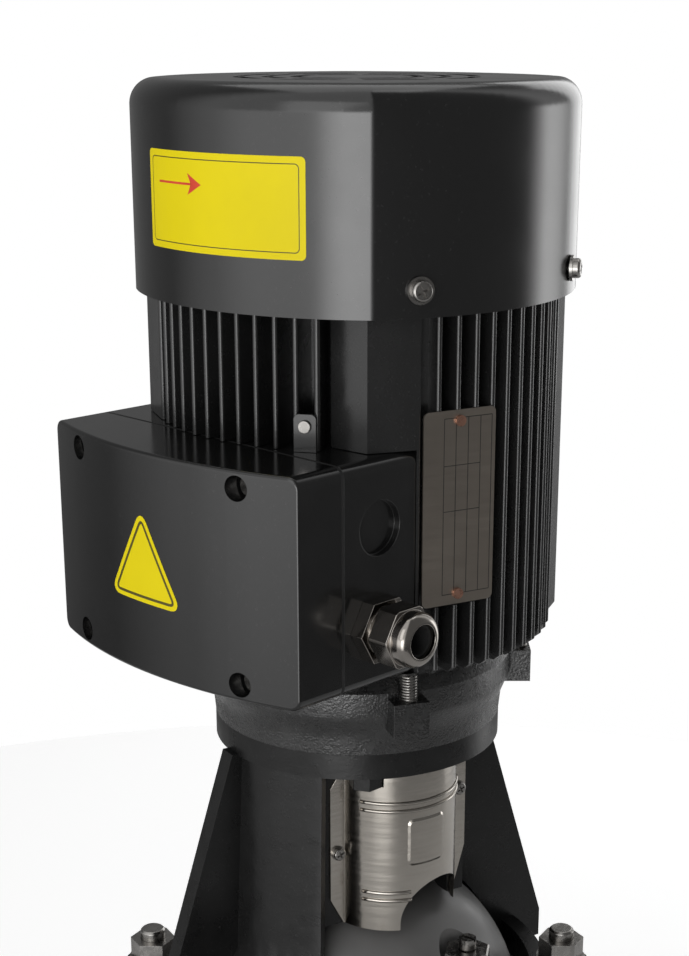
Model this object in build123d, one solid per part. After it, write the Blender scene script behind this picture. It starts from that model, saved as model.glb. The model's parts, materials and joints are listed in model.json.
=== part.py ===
from build123d import *
import os
from math import cos, sin, sqrt, radians, degrees, atan2

# Vertical in-line multistage pump with a flange-mounted motor, in millimetres.
# Origin: centre of the foot's underside. +Z runs up the shaft, the ports lie along X,
# the terminal box faces -X and the priming plug faces -Y.

# ---- clearances --------------------------------------------------------------
running = 0.05           # radial clearance of a shaft in its bush
free = 0.3               # gap between pieces that only sit beside each other
thread_gap = 0.1         # radial gap of a fastener in its hole

# ---- hydraulic end -----------------------------------------------------------
base_height = 118.0      # foot underside to the sleeve's seat
foot_length, foot_width, foot_thickness = 248.0, 178.0, 16.0
foot_hole_y, foot_hole_x, foot_hole_r = foot_length - 33, foot_width - 48, 6.75
port_height, port_reach, port_r, outlet_r = 80.0, 140.0, 20.0, 19.5
flange_r, flange_thickness, flange_pcd, flange_hole_r = 75.0, 18.0, 110.0, 9.0
pipe_wall = 9.0
casing_wall = 8.0
sleeve_r, sleeve_wall, sleeve_length = 84.0, 1.5, 126.0
sleeve_engagement = 4.0
stay_circle_r, stay_r, stay_ear_r = 100.0, 6.0, 14.0
stay_thread = 22.0
nut_across_flats, nut_height, washer_r, washer_thickness = 19.0, 10.0, 12.0, 2.5
stay_end = 5.0
stage_count, stage_height = 4, 30.0
chamber_r, chamber_wall = 76.0, 1.5
impeller_r, impeller_eye_r, impeller_height, blade_count = 52.0, 22.0, 13.0, 6
pump_shaft_r = 8.0
suction_r = 44.0
drain_r, drain_height = 10.0, 38.0

# ---- pump head and shaft seal ------------------------------------------------
head_flange_thickness = 12.0
dome_r, dome_wall, dome_centre_drop = 80.0, 6.0, 11.0
hub_r, hub_top = 27.0, 74.0
seal_r, seal_height = 17.5, 9.0
plug_turn, plug_offset, plug_r, plug_across_flats = -84.0, 66.0, 9.0, 20.0
plug_top, plug_hex_height, plug_reach = 44.0, 10.0, 14.0
vent_r, vent_head_r = 2.5, 4.0

# ---- motor stool, guards and coupling ----------------------------------------
stool_height, stool_turn = 151.0, -13.0
stool_flange_r, stool_flange_thickness, stool_spigot_r = 66.0, 11.5, 47.5
leg_top_r, leg_knee_r, leg_bottom_r, leg_knee_lift = 64.0, 68.5, 83.0, 29.0
leg_thickness, leg_edge_angle = 7.0, 46.0
rib_top_r, rib_bottom_r, rib_inner_r, rib_thickness = 69.0, 109.0, 33.0, 9.0
stool_ring_thickness, stool_ring_r = 15.0, 93.0
guard_plane, guard_half_width, guard_strip, guard_bulge = 35.6, 37.0, 8.0, 22.5
guard_sheet, guard_height, guard_top_gap = 1.0, 78.0, 1.5
guard_screw_r, guard_screw_low, guard_screw_high = 2.0, 352.0, 369.0
notch_half_width, notch_side, notch_height = 19.5, 7.5, 22.5
coupling_r, coupling_length, coupling_gap, coupling_lift = 24.0, 58.0, 1.0, 10.0
coupling_screw_x, coupling_seat_y = 17.5, 13.0
flange_bolt_circle_r, flange_bolt_r, flange_bolt_turn = 54.0, 4.0, 49.0
flange_bolt_flats, flange_bolt_head = 13.0, 8.0

# ---- motor -------------------------------------------------------------------
shield_height, housing_length = 42.3, 160.0
core_r, housing_bore_r, fin_tip_r, fin_thickness = 70.0, 62.0, 88.0, 2.4
fins_per_quadrant, fin_pitch = 11, 5.75
post_edge_turn, post_edge_r = 2.5, 91.5
post_left_turn, post_left_r, post_right_turn = -7.5, 80.0, 16.2
shield_foot_r, shield_top_r = 66.0, 71.0
lug_turns = (-118.0, 118.0, -45.0, 45.0)
tie_circle_r, tie_r, lug_half_width, lug_height = 75.0, 3.6, 8.0, 15.0
tie_seat = 7.5
cover_corner_r, cover_side_r, cover_height, cover_sheet = 96.0, 91.4, 88.0, 1.2
cover_crease_turn, cover_crease_fillet = 3.5, 9.0
cover_overlap, cover_edge_r, cover_screw_height = 8.6, 11.0, 11.0
cover_screw_turns = (-120.0, -60.0, 60.0, 120.0)
motor_shaft_r, bearing_seat_r, shaft_body_r, shaft_reach = 12.0, 12.5, 15.0, 48.0
bearing_outer_r, bearing_width, ball_circle_r, ball_r, ball_count = 26.0, 15.0, 19.25, 3.85, 9
lower_bearing_lift = 16.0
rotor_r, stack_length, air_gap = 36.0, 90.0, 0.5
winding_height = 24.0
fan_r, fan_hub_r, fan_blades, fan_height = 70.0, 22.0, 7, 26.0

# ---- terminal box ------------------------------------------------------------
box_half_width, box_height, box_lift = 76.5, 95.0, 2.4
box_seam_x, box_back_x, box_wall = 85.0, 41.0, 4.0
lid_bow_r, lid_front_x, lid_wall, lid_corner_r, lid_edge_r = 217.0, 122.0, 3.0, 5.0, 1.6
lid_screw_y, lid_screw_inset, lid_screw_r = 50.0, 7.2, 2.0
lid_counterbore_r, lid_counterbore_depth = 5.2, 9.0
gasket_thickness = 1.5
knockout_x, knockout_drop, knockout_r, knockout_depth = 63.6, 28.0, 11.4, 3.2
gland_x, gland_lift, gland_bore_r = 66.0, 26.0, 6.0
gland_thread_r, gland_across_flats, gland_nut_across_flats = 10.0, 25.0, 24.0
gland_flange, gland_neck, gland_nut_length, gland_dome = 6.5, 8.0, 10.0, 7.5

# ---- levels up the shaft -----------------------------------------------------
z_head = base_height + sleeve_length
z_foot_ring = z_head + head_flange_thickness
z_ear_top = z_foot_ring + stool_ring_thickness
z_motor = z_foot_ring + stool_height
z_stool_flange = z_motor - stool_flange_thickness
z_housing = z_motor + shield_height
z_housing_top = z_housing + housing_length
z_cover = z_housing_top - cover_overlap
z_cover_top = z_cover + cover_height
z_box = z_housing + box_lift
z_box_top = z_box + box_height
z_dome_centre = z_foot_ring - dome_centre_drop
z_hub_top = z_foot_ring + hub_top
z_stack = (z_housing + z_housing_top) / 2 - stack_length / 2
z_lower_bearing = z_motor + lower_bearing_lift
z_upper_bearing = z_housing_top - 2
z_shaft_low = z_motor - shaft_reach
z_coupling = z_hub_top + coupling_lift
z_split = z_shaft_low - 3
z_stack_top = base_height - 4 + stage_count * stage_height
z_first_stage = base_height - 4

on_base = (Align.CENTER, Align.CENTER, Align.MIN)


# ---- small helpers -----------------------------------------------------------
def disc(radius, low, high):
    return Pos(0, 0, low) * Cylinder(radius, high - low, align=on_base)


def tube(outer, inner, low, high):
    return disc(outer, low, high) - disc(inner, low - 1, high + 1)


def block(x, y, z):
    """A box between pairs of limits along each axis."""
    size = (x[1] - x[0], y[1] - y[0], z[1] - z[0])
    return Pos((x[0] + x[1]) / 2, (y[0] + y[1]) / 2, (z[0] + z[1]) / 2) * Box(*size)


def turned(points):
    """A solid of revolution about the shaft from a closed (radius, height) outline."""
    outline = make_face(Polyline(*[(r, 0, z) for r, z in points], close=True))
    return revolve(outline, Axis.Z)


def around(turn, radius=0.0, height=0.0):
    """Place at a radius and height, turned about the shaft, local +X outwards."""
    return Rot(0, 0, turn) * Pos(radius, 0, height)


def quarters(offset=45.0):
    return [offset + 90 * n for n in range(4)]


def hexagon(across_flats, height):
    outline = RegularPolygon(across_flats / sqrt(3), 6)
    return extrude(outline, height)


def bolt(radius, length, across_flats, head_height):
    """Hexagon bolt standing on its head, the shank up +Z from the head's upper face."""
    head = Pos(0, 0, -head_height) * hexagon(across_flats, head_height)
    return head + Cylinder(radius, length, align=on_base)


def solids_of(shapes):
    return Compound(children=[s for shape in shapes for s in shape.solids()])


def save(name, shape):
    export_step(shape, f"parts/{name}.step")


# ---- foot casting with both ports --------------------------------------------
def pump_base():
    foot = extrude(RectangleRounded(foot_width, foot_length, 22), foot_thickness)
    body = turned([
        (0, foot_thickness - 1), (sleeve_r + 4, foot_thickness - 1), (sleeve_r + 4, base_height - 26),
        (sleeve_r + 8, base_height - 20), (sleeve_r + 8, base_height), (0, base_height),
    ])
    across = Plane.YZ * Pos(0, port_height, -port_reach)
    pipe = across * extrude(Circle(port_r + pipe_wall), 2 * port_reach)
    casting = foot + body + pipe
    for side in (-1, 1):
        face_x = side * port_reach
        inner_x = side * (port_reach - flange_thickness)
        plate = block(sorted((face_x, inner_x)), (-flange_r, flange_r),
                      (port_height - flange_r, port_height + flange_r))
        plate &= across * extrude(Circle(flange_r), 2 * port_reach)
        casting += plate
    for turn in quarters():
        casting += around(turn, stay_circle_r, base_height - stay_thread - 4) * Cylinder(
            stay_ear_r, stay_thread + 4, align=on_base)
        casting += around(turn, stay_circle_r / 2 + 30, base_height - stay_thread / 2 - 2) * Box(
            stay_circle_r - 60, 1.6 * stay_ear_r, stay_thread + 4)
    boss_reach = sleeve_r + 12
    casting += Rot(90, 0, 0) * Pos(0, drain_height, 0) * Cylinder(
        drain_r + 6, boss_reach, align=on_base)

    # annular delivery chamber round the suction well
    channel_r = sleeve_r - sleeve_wall - 2.5
    casting -= tube(channel_r, suction_r + casing_wall, port_height - 34, base_height + 1)
    casting += Plane.YZ * Pos(0, port_height, -port_reach) * extrude(
        Circle(port_r + 6), port_reach - suction_r)
    casting -= disc(suction_r, foot_thickness + 8, base_height + 1)
    casting -= disc(channel_r, z_first_stage - 3, base_height + 1)
    casting -= Plane.YZ * Pos(0, port_height, -port_reach - 1) * extrude(
        Circle(port_r), port_reach + 1)
    casting -= Plane.YZ * Pos(0, port_height, suction_r + casing_wall + 4) * extrude(
        Circle(outlet_r), port_reach)

    # sleeve groove, threaded stay holes, foot holes, port bolt holes, drain
    casting -= tube(sleeve_r + thread_gap, sleeve_r - sleeve_wall - thread_gap,
                    base_height - sleeve_engagement, base_height + 1)
    for turn in quarters():
        casting -= around(turn, stay_circle_r, base_height - stay_thread) * Cylinder(
            stay_r + thread_gap, stay_thread + 1, align=on_base)
    for x in (-foot_hole_x / 2, foot_hole_x / 2):
        for y in (-foot_hole_y / 2, foot_hole_y / 2):
            casting -= Pos(x, y, -1) * Cylinder(foot_hole_r, foot_thickness + 2, align=on_base)
    for turn in quarters():
        y, z = flange_pcd / 2 * cos(radians(turn)), flange_pcd / 2 * sin(radians(turn))
        hole = Pos(0, y, port_height + z) * Rot(0, 90, 0) * Cylinder(flange_hole_r, 4 * port_reach)
        casting -= hole & block((port_reach - flange_thickness - 1, port_reach + 1),
                                (-flange_r, flange_r), (0, 2 * port_height))
        casting -= hole & block((-port_reach - 1, flange_thickness + 1 - port_reach),
                                (-flange_r, flange_r), (0, 2 * port_height))
    casting -= Pos(0, -boss_reach - 1, drain_height) * Rot(-90, 0, 0) * Cylinder(
        drain_r + thread_gap, 17, align=on_base)
    casting -= Pos(0, -boss_reach, drain_height) * Rot(-90, 0, 0) * Cylinder(
        5, boss_reach - suction_r + 4, align=on_base)
    return casting


def drain_plug():
    reach = sleeve_r + 12
    plug = Pos(0, -reach, drain_height) * Rot(-90, 0, 0) * Cylinder(
        drain_r, 14, align=on_base)
    head = Pos(0, -reach, drain_height) * Rot(90, 0, 0) * hexagon(24, 7)
    return plug + head


# ---- sleeve, stay bolts ------------------------------------------------------
def outer_sleeve():
    return tube(sleeve_r, sleeve_r - sleeve_wall, base_height - sleeve_engagement + free,
                z_head + sleeve_engagement - free)


def sleeve_seals():
    outer = sleeve_r - sleeve_wall - thread_gap
    low = tube(outer, outer - 2, base_height, base_height + 2.4)
    high = tube(outer, outer - 2, z_head - 2.4, z_head)
    return solids_of([low, high])


def stay_bolts():
    low = base_height - stay_thread + 1
    high = z_ear_top + washer_thickness + nut_height + stay_end
    rods = []
    for turn in quarters():
        rod = Cylinder(stay_r, high - low, align=on_base)
        rod = chamfer(rod.edges().group_by(Axis.Z)[-1], 1)
        rods.append(around(turn, stay_circle_r, low) * rod)
    return solids_of(rods)


def stay_bolt_nuts():
    nut = Pos(0, 0, washer_thickness) * hexagon(nut_across_flats, nut_height)
    nut += Cylinder(washer_r, washer_thickness, align=on_base)
    nut -= Cylinder(stay_r + thread_gap, 60)
    return solids_of([around(turn, stay_circle_r, z_ear_top) * nut for turn in quarters()])


# ---- stages ------------------------------------------------------------------
def suction_bell():
    """Inlet part that carries the lowest chamber and the bottom bush."""
    low, high = base_height - 14, z_first_stage
    bell = turned([
        (suction_r - free, low), (suction_r - free, high - 3), (chamber_r, high - 3),
        (chamber_r, high), (impeller_eye_r, high), (impeller_eye_r, high - 3),
        (suction_r - 4, low),
    ])
    bell += tube(pump_shaft_r + 4, pump_shaft_r + running, low - 2, high - 2)
    for n in range(3):
        bell += around(120 * n, pump_shaft_r + 3, low - 2) * Box(
            suction_r - pump_shaft_r - 5, 4, 6, align=(Align.MIN, Align.CENTER, Align.MIN))
    return bell


def chamber(level):
    """Stamped stage casing: a cup whose lid has an eye and guide vanes under it."""
    low, high = z_first_stage + level * stage_height, z_first_stage + (level + 1) * stage_height
    shell = tube(chamber_r, chamber_r - chamber_wall, low, high)
    lid = tube(chamber_r, impeller_eye_r - 5, high - 2, high)
    inside = disc(chamber_r - chamber_wall / 2, low, high)
    cup = shell + lid
    for n in range(8):
        vane = around(45 * n, chamber_r - 22, high - 9) * Rot(0, 0, 35) * Box(
            40, 1.5, 8, align=on_base)
        cup += vane & inside
    return cup


def stack_spacer():
    """Slotted ring that holds the stages down under the pump head."""
    ring = tube(chamber_r, chamber_r - 4, z_stack_top, z_head)
    for turn in (0, 60, 120):
        ring -= around(turn, 0, z_stack_top + 2) * Box(
            3 * chamber_r, 30, z_head - z_stack_top - 4, align=on_base)
    return ring


def chambers():
    return solids_of([chamber(level) for level in range(stage_count)])


def impeller(level):
    """Closed impeller: back disc, eye ring and swept blades between two shrouds."""
    low = z_first_stage + level * stage_height + 3
    back = tube(impeller_r, pump_shaft_r, low + impeller_height - 1.5, low + impeller_height)
    front = tube(impeller_r, impeller_eye_r - 4, low + 2, low + 3.5)
    neck = tube(impeller_eye_r - 2, impeller_eye_r - 4, low, low + 3.5)
    hub = tube(pump_shaft_r + 5, pump_shaft_r, low + 1, low + impeller_height)
    wheel = back + front + neck + hub
    for n in range(blade_count):
        sweep = CenterArc((0, -34), 44, 12, 62)
        blade = extrude(trace(sweep, 1.4), impeller_height - 4)
        wheel += around(360 / blade_count * n, 0, low + 3) * blade & tube(
            impeller_r - free, pump_shaft_r + 4, low + 2.5, low + impeller_height - 1)
    return wheel


def pump_shaft():
    low, high = z_first_stage - 14, z_split - 1
    shaft = disc(pump_shaft_r, low, high)
    shaft = chamfer(shaft.edges().group_by(Axis.Z)[-1], 1)
    return shaft - coupling_pin_place() * Cylinder(coupling_pin_r + thread_gap, 3 * pump_shaft_r)


# ---- pump head ---------------------------------------------------------------
def plug_place(height=0.0):
    return around(plug_turn, plug_offset, z_foot_ring + height)


def coupling_pin_place():
    return Pos(0, 0, z_coupling + 9) * Rot(0, 90, 0)


def pump_head():
    rim = disc(sleeve_r + 8, z_head, z_foot_ring)
    for turn in quarters():
        rim += around(turn, stay_circle_r, z_head) * Cylinder(
            stay_ear_r, head_flange_thickness, align=on_base)
        rim += around(turn, stay_circle_r / 2 + 30, z_head) * Box(
            stay_circle_r - 60, 2 * stay_ear_r - 4, head_flange_thickness, align=on_base)
    ball = Pos(0, 0, z_dome_centre) * Sphere(dome_r)
    above = disc(200, z_foot_ring - 1, z_hub_top + 60)
    head = rim + (ball & above)
    head += disc(hub_r, z_foot_ring, z_hub_top)
    seat = plug_top - plug_hex_height
    head += plug_place() * Cylinder(plug_r + 5, seat, align=on_base)
    cavity = Pos(0, 0, z_dome_centre) * Sphere(dome_r - dome_wall)
    cavity &= disc(200, z_head - 1, z_foot_ring + 52)
    cavity -= plug_place(seat - plug_reach) * Cylinder(plug_r + 7, 60, align=on_base)
    head -= cavity
    head -= plug_place(seat) * Cylinder(plug_r + 4.2, 40, align=on_base)
    head -= disc(pump_shaft_r + 1, z_foot_ring, z_hub_top + 1)
    head -= disc(seal_r + thread_gap, z_foot_ring, z_hub_top - 8)
    head -= plug_place() * Cylinder(plug_r + thread_gap, plug_top, align=on_base)
    head -= tube(sleeve_r + thread_gap, sleeve_r - sleeve_wall - thread_gap,
                 z_head - 1, z_head + sleeve_engagement)
    for turn in quarters():
        head -= around(turn, stay_circle_r, z_head - 1) * Cylinder(
            stay_r + 0.75, 60, align=on_base)
    return head


def seal_stationary_ring():
    high = z_hub_top - 8
    return tube(seal_r, pump_shaft_r + 1, high - seal_height, high)


def seal_rotating_ring():
    high = z_hub_top - 8 - seal_height - free
    ring = tube(seal_r - 3, pump_shaft_r, high - seal_height, high)
    return ring + tube(seal_r - 1, pump_shaft_r, high - 2 * seal_height, high - seal_height)


def priming_plug():
    seat = plug_top - plug_hex_height
    plug = plug_place(seat - plug_reach) * Cylinder(plug_r, plug_reach + 1, align=on_base)
    head = plug_place(seat) * hexagon(plug_across_flats, plug_hex_height)
    head = chamfer(head.edges().group_by(Axis.Z)[-1], 0.8)
    body = plug + head
    return body - plug_place(plug_top - 11) * Cylinder(vent_r + running, 20, align=on_base)


def vent_screw():
    shank = plug_place(plug_top - 10) * Cylinder(vent_r, 11, align=on_base)
    head = plug_place(plug_top + 2 * free) * Cylinder(vent_head_r, 5, align=on_base)
    slot = plug_place(plug_top + 2 * free + 3.8) * Box(3 * vent_head_r, 1.2, 3, align=on_base)
    return shank + head - slot


# ---- motor stool -------------------------------------------------------------
def window_turns():
    return (stool_turn - 90, stool_turn + 90)


def window_wedge(turn, low, high):
    """Opening from the free edge of one leg round to the rib of the other."""
    far = 150.0
    y = far * sin(radians(leg_edge_angle)) / cos(radians(leg_edge_angle))
    outline = Polyline((0, 0), (far, -y), (far, far), (0, far), close=True)
    return Rot(0, 0, turn) * Pos(0, 0, low) * extrude(make_face(outline), high - low)


def guard_screw_place(turn, side, height):
    return Rot(0, 0, turn) * Pos(guard_plane, side * (guard_half_width - guard_strip / 2),
                                 height) * Rot(0, 90, 0)


def guard_screw_places():
    return [guard_screw_place(turn, side, height) for turn in window_turns()
            for side, height in ((-1, guard_screw_low), (1, guard_screw_high))]


def motor_stool():
    top = tube(stool_flange_r, stool_spigot_r, z_stool_flange, z_motor)
    knee = z_ear_top + leg_knee_lift
    profile = [(leg_bottom_r, z_ear_top - 2), (leg_knee_r, knee), (leg_top_r, z_stool_flange + 1)]
    legs = turned(profile + [(r - leg_thickness, z) for r, z in reversed(profile)])
    for turn in window_turns():
        legs -= window_wedge(turn, z_foot_ring, z_stool_flange)
    ring = disc(stool_ring_r, z_foot_ring, z_ear_top)
    for turn in quarters():
        ring += around(turn, stay_circle_r, z_foot_ring) * Cylinder(
            stay_ear_r, stool_ring_thickness, align=on_base)
        ring += around(turn, stay_circle_r - 14, z_foot_ring) * Box(
            24, 2 * stay_ear_r - 2, stool_ring_thickness, align=on_base)
    ring -= disc(dome_r + 5, z_foot_ring - 1, z_ear_top + 1)
    skirt = turned([
        (leg_bottom_r - 4, z_ear_top - 6), (dome_r + 8, z_ear_top - 6),
        (dome_r + 8, z_ear_top), (leg_bottom_r - 2, z_ear_top + 7), (leg_bottom_r - 6, z_ear_top + 7),
    ])
    for turn in window_turns():
        skirt -= window_wedge(turn, z_foot_ring, z_stool_flange)
    stool = top + legs + ring + skirt
    for turn in (stool_turn, stool_turn + 180):
        outline = Polyline((rib_inner_r, z_stool_flange + 1), (rib_top_r, z_stool_flange + 1),
                           (rib_bottom_r, z_ear_top), (rib_bottom_r, z_foot_ring),
                           (dome_r + 6, z_foot_ring), (rib_inner_r, z_ear_top), close=True)
        web = extrude(Plane.XZ * make_face(outline), rib_thickness / 2, both=True)
        stool += Rot(0, 0, turn) * web
    leg_envelope = turned([(0, z_ear_top), (leg_knee_r - 4, z_ear_top), (leg_knee_r - 4, knee),
                           (leg_top_r - 3, z_motor - 1), (0, z_motor - 1)])
    guard_low = z_stool_flange - guard_top_gap - guard_height
    bend = guard_half_width - guard_strip - 1
    for turn in window_turns():
        strips = block((guard_plane - 8, guard_plane), (-leg_bottom_r, -bend),
                       (guard_low, z_stool_flange + 1))
        strips += block((0, guard_plane), (bend, guard_half_width), (guard_low, z_stool_flange + 1))
        stool += Rot(0, 0, turn) * strips & leg_envelope
    stool -= Pos(0, 0, z_dome_centre) * Sphere(dome_r + 1.5)
    for turn in quarters():
        stool -= around(turn, stay_circle_r, z_foot_ring - 1) * Cylinder(
            stay_r + 0.75, 60, align=on_base)
    for turn in quarters(flange_bolt_turn):
        stool -= around(turn, flange_bolt_circle_r, z_stool_flange - 1) * Cylinder(
            flange_bolt_r + 0.5, 40, align=on_base)
        stool -= around(turn, flange_bolt_circle_r, z_stool_flange - 40) * Cylinder(
            flange_bolt_flats / sqrt(3) + 0.5, 40, align=on_base)
    for place in guard_screw_places():
        stool -= place * Pos(0, 0, -9) * Cylinder(guard_screw_r + thread_gap, 12, align=on_base)
    return stool - disc(rib_inner_r, z_ear_top, z_motor + 1)


def coupling_guard(turn):
    """Bent sheet: two flat strips screwed to the stool and a bowed panel between."""
    low = z_stool_flange - guard_top_gap - guard_height
    high = low + guard_height
    bend, middle = guard_half_width - guard_strip, guard_plane + guard_sheet / 2
    path = Polyline((middle, -guard_half_width), (middle, -bend)) + ThreePointArc(
        (middle, -bend), (middle + guard_bulge, 0), (middle, bend)) + Polyline(
        (middle, bend), (middle, guard_half_width))
    sheet = Pos(0, 0, low) * extrude(trace(path, guard_sheet), guard_height)
    arch = Pos(notch_side, 0) * Rectangle(2 * notch_half_width, 2 * (
        notch_height - notch_half_width)) + Pos(notch_side, notch_height - notch_half_width) * Circle(
        notch_half_width)
    sheet -= Pos(0, 0, low) * extrude(Plane.YZ * arch, 3 * guard_plane)
    corners = (((-1, low), 13), ((1, low), 23), ((-1, high), -10), ((1, high), -10))
    for (side, height), taper in corners:
        corner = make_face(Polyline((side * (bend + 1), height), (side * 60, height),
                                    (side * 60, height + 2 * taper),
                                    (side * guard_half_width, height + taper), close=True))
        sheet -= extrude(Plane.YZ * corner, 2 * guard_plane)
    for place in (guard_screw_place(0, -1, guard_screw_low), guard_screw_place(0, 1, guard_screw_high)):
        sheet -= place * Cylinder(guard_screw_r + thread_gap, 10)
    sheet = Rot(0, 0, turn) * sheet
    for bolt_turn in quarters(flange_bolt_turn):
        sheet -= around(bolt_turn, flange_bolt_circle_r, z_stool_flange - flange_bolt_head - 0.5) * (
            Cylinder(flange_bolt_flats / sqrt(3) + 0.5, 20, align=on_base))
    return sheet


def guard_screws():
    screws = []
    for place in guard_screw_places():
        shank = Pos(0, 0, -7) * Cylinder(guard_screw_r, 9, align=on_base)
        head = Pos(0, 0, guard_sheet) * Cylinder(3.3, 2.4, align=on_base)
        screws.append(place * (shank + head))
    return solids_of(screws)


def flange_bolts():
    one = bolt(flange_bolt_r, stool_flange_thickness + 12, flange_bolt_flats, flange_bolt_head)
    return solids_of([around(turn, flange_bolt_circle_r, z_stool_flange) * Rot(0, 0, 10) * one
                      for turn in quarters(flange_bolt_turn)])


# ---- coupling ----------------------------------------------------------------
coupling_pin_r = 2.5
coupling_screw_levels = (z_coupling + 9, z_coupling + coupling_length - 12)


def coupling_half(side):
    low, high = z_coupling, z_coupling + coupling_length
    half = disc(coupling_r, low, high)
    half = chamfer(half.edges().filter_by(GeomType.CIRCLE), 1.5)
    half -= disc(pump_shaft_r, low - 1, z_split)
    half -= disc(motor_shaft_r, z_split, high + 1)
    cut = block((-60, 60), (-60, coupling_gap / 2), (low - 1, high + 1))
    half -= cut if side > 0 else mirror(cut, Plane.XZ)
    for x in (-coupling_screw_x, coupling_screw_x):
        for z in coupling_screw_levels:
            half -= Pos(x, 0, z) * Rot(90, 0, 0) * Cylinder(3 + thread_gap, 60)
            half -= Pos(x, side * coupling_seat_y, z) * Rot(-90 * side, 0, 0) * Cylinder(
                5.5, 20, align=on_base)
    return half - coupling_pin_place() * Cylinder(coupling_pin_r + thread_gap, 27)


def coupling_screws():
    screws = []
    for x in (-coupling_screw_x, coupling_screw_x):
        for z in coupling_screw_levels:
            shank = Cylinder(3, 24, align=(Align.CENTER, Align.CENTER, Align.MAX))
            head = Cylinder(5, 6, align=on_base) - Pos(0, 0, 3) * hexagon(5, 4)
            screws.append(Pos(x, -coupling_seat_y, z) * Rot(90, 0, 0) * (shank + head))
    return solids_of(screws)


def coupling_pin():
    return coupling_pin_place() * Cylinder(coupling_pin_r, 26)


# ---- nameplate seat, used by the housing and by the plate itself -------------
plate_turn, plate_width, plate_height, plate_low, plate_seat = -106.5, 34.0, 82.0, 480.0, 86.4
rivet_r, rivet_heights = 1.1, (4.5, plate_height - 4.5)
earth_turn, earth_r = -148.4, 88.4


def plate_place(out=0.0, height=0.0):
    return around(plate_turn, plate_seat + out, plate_low + height)


# ---- motor housing and shields -----------------------------------------------
def housing_outline():
    """Finned ring with a broad flat-faced post near each diagonal."""
    outline = Circle(core_r)
    first = -fin_pitch * (fins_per_quadrant - 1) / 2
    for quadrant in range(4):
        for n in range(-1, fins_per_quadrant):
            turn = 90 * quadrant - first - n * fin_pitch
            fin = Pos((core_r + fin_tip_r) / 2 - 1.5, 0) * SlotOverall(
                fin_tip_r - core_r + 3, fin_thickness)
            outline += Rot(0, 0, turn) * fin
    for turn in quarters():
        corners = [(core_r - 2, post_left_turn - 3), (post_left_r, post_left_turn),
                   (post_edge_r, post_edge_turn), (fin_tip_r, post_right_turn),
                   (core_r - 2, post_right_turn)]
        post = make_face(Polyline(*[(r * cos(radians(a)), r * sin(radians(a)))
                                    for r, a in corners], close=True))
        outline += Rot(0, 0, turn) * post
    return outline - Circle(housing_bore_r)


def tie_bosses():
    """Small columns beside the posts that the motor's tie bolts pass through."""
    boss = None
    for turn in lug_turns:
        column = Rot(0, 0, turn) * (Pos(core_r, 0) * Rectangle(
            2 * (tie_circle_r - core_r + 4), 2 * tie_r + 5))
        boss = column if boss is None else boss + column
    return boss - Circle(core_r - 2)


def stator_housing():
    body = extrude(housing_outline() + tie_bosses(), housing_length)
    body = Pos(0, 0, z_housing) * body
    body &= turned([
        (housing_bore_r - 5, z_housing), (fin_tip_r - 4, z_housing), (fin_tip_r + 4, z_housing + 6),
        (fin_tip_r + 4, z_housing_top - 6), (fin_tip_r - 4, z_housing_top),
        (housing_bore_r - 5, z_housing_top),
    ])
    seat = block((-200, -box_back_x + free), (-box_half_width - free, box_half_width + free),
                 (z_box - free, z_box_top + free))
    body -= seat - disc(core_r, z_housing, z_housing_top)
    body += tube(core_r, housing_bore_r, z_housing, z_housing_top)
    body -= plate_place(0, plate_height / 2) * Box(
        20, plate_width + 0.6, plate_height + 0.6, align=(Align.MIN, Align.CENTER, Align.CENTER))
    for height in rivet_heights:
        pad = plate_place(0, height) * Box(
            plate_seat - core_r + 1, 9, 9, align=(Align.MAX, Align.CENTER, Align.CENTER))
        body += pad
        body -= plate_place(-7, height) * Rot(0, 90, 0) * Cylinder(
            rivet_r + running, 10, align=on_base)
    for turn in lug_turns:
        body -= around(turn, tie_circle_r, z_housing - 1) * Cylinder(
            tie_r + thread_gap, housing_length + 2, align=on_base)
    return body


def lower_end_shield():
    """Cast drive-end shield: mounting flange, bearing seat and four tie-bolt lugs."""
    shell = turned([
        (stool_spigot_r - 1, z_motor - 3), (stool_spigot_r - free, z_motor - 3),
        (stool_spigot_r - free, z_motor), (shield_foot_r, z_motor), (shield_foot_r + 1, z_motor + 10),
        (shield_top_r, z_motor + 20), (shield_top_r, z_motor + 30), (core_r - 3, z_motor + 36),
        (core_r - 3, z_housing), (housing_bore_r - free, z_housing),
        (housing_bore_r - free, z_housing + 6), (housing_bore_r - 5, z_housing + 6),
        (housing_bore_r - 5, z_motor + 34), (bearing_outer_r + 8, z_motor + 34),
        (bearing_outer_r, z_motor + 34), (bearing_outer_r, z_lower_bearing),
        (motor_shaft_r + 3, z_lower_bearing), (motor_shaft_r + 3, z_motor + 8),
        (stool_spigot_r - 12, z_motor + 8), (stool_spigot_r - 8, z_motor - 3),
    ])
    for turn in lug_turns:
        shell += around(turn, shield_top_r - 2, z_motor + 13) * Box(
            2 * (tie_circle_r - shield_top_r + 7), 2 * lug_half_width, lug_height, align=on_base)
        shell -= around(turn, tie_circle_r, z_motor + 15) * Cylinder(
            tie_r + thread_gap, 60, align=on_base)
    for turn in quarters(flange_bolt_turn):
        shell -= around(turn, flange_bolt_circle_r, z_motor - 1) * Cylinder(
            flange_bolt_r + thread_gap, 14, align=on_base)
    return shell


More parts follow.
